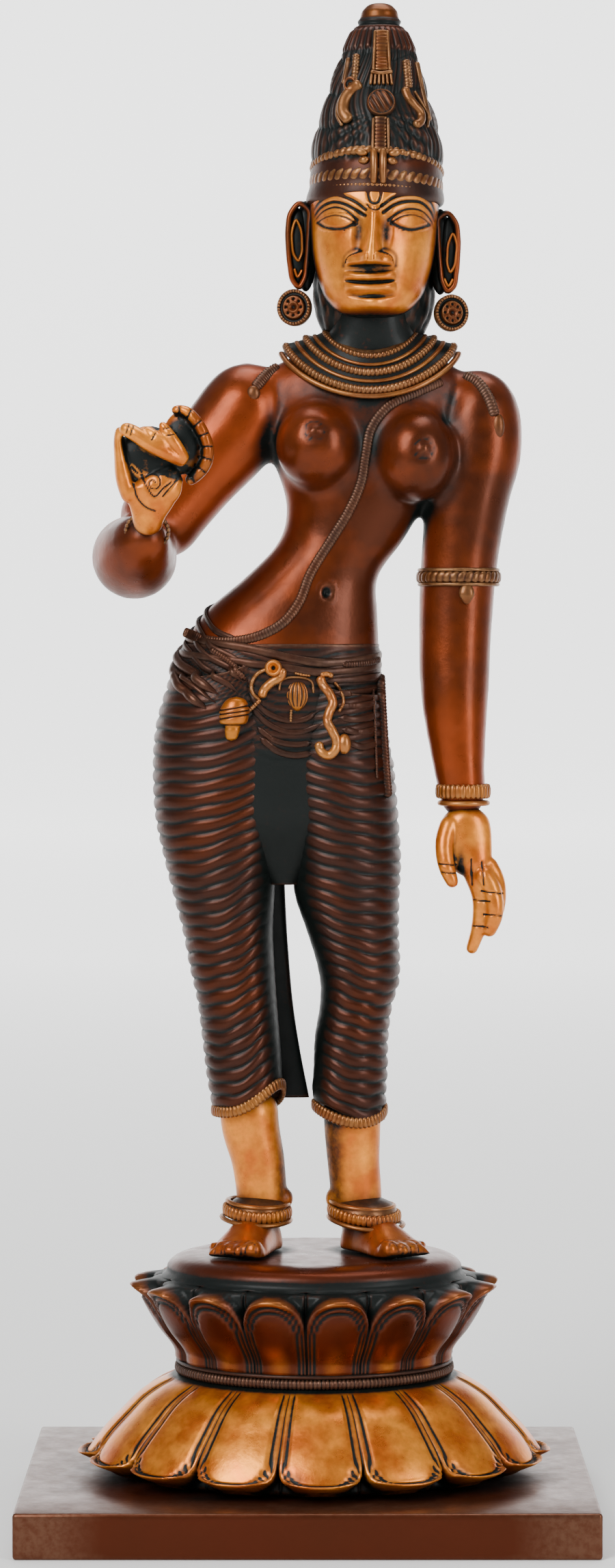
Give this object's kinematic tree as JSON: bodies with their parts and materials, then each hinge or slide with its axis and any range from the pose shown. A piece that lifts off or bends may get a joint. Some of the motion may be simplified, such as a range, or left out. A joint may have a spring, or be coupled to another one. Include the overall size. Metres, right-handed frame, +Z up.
{
  "type": "parvati statue",
  "caption": "Standing goddess in patinated cast brass, right hand raised and left arm hanging, with tall crown and pleated skirt, on a double lotus pedestal and flat plinth.",
  "frame": {"origin": "middle of the plinth's underside", "axes": "+Z up, the figure faces -Y, +X to a viewer's right as they face her"},
  "size_m": [0.19, 0.153, 0.5087],
  "materials": {
    "figure_brass": "copper-brown lacquered patina with golden high spots and dark green-black recesses, satin to gloss",
    "lotus_brass": "golden brown brass, glossy, with dark patina in the cut lines",
    "plinth_brass": "brown patinated brass, satin, lightly scuffed"
  },
  "bodies": {
    "root": {"figure": "figure_brass", "lotus_pedestal": "lotus_brass", "plinth": "plinth_brass"}
  },
  "joints": []
}
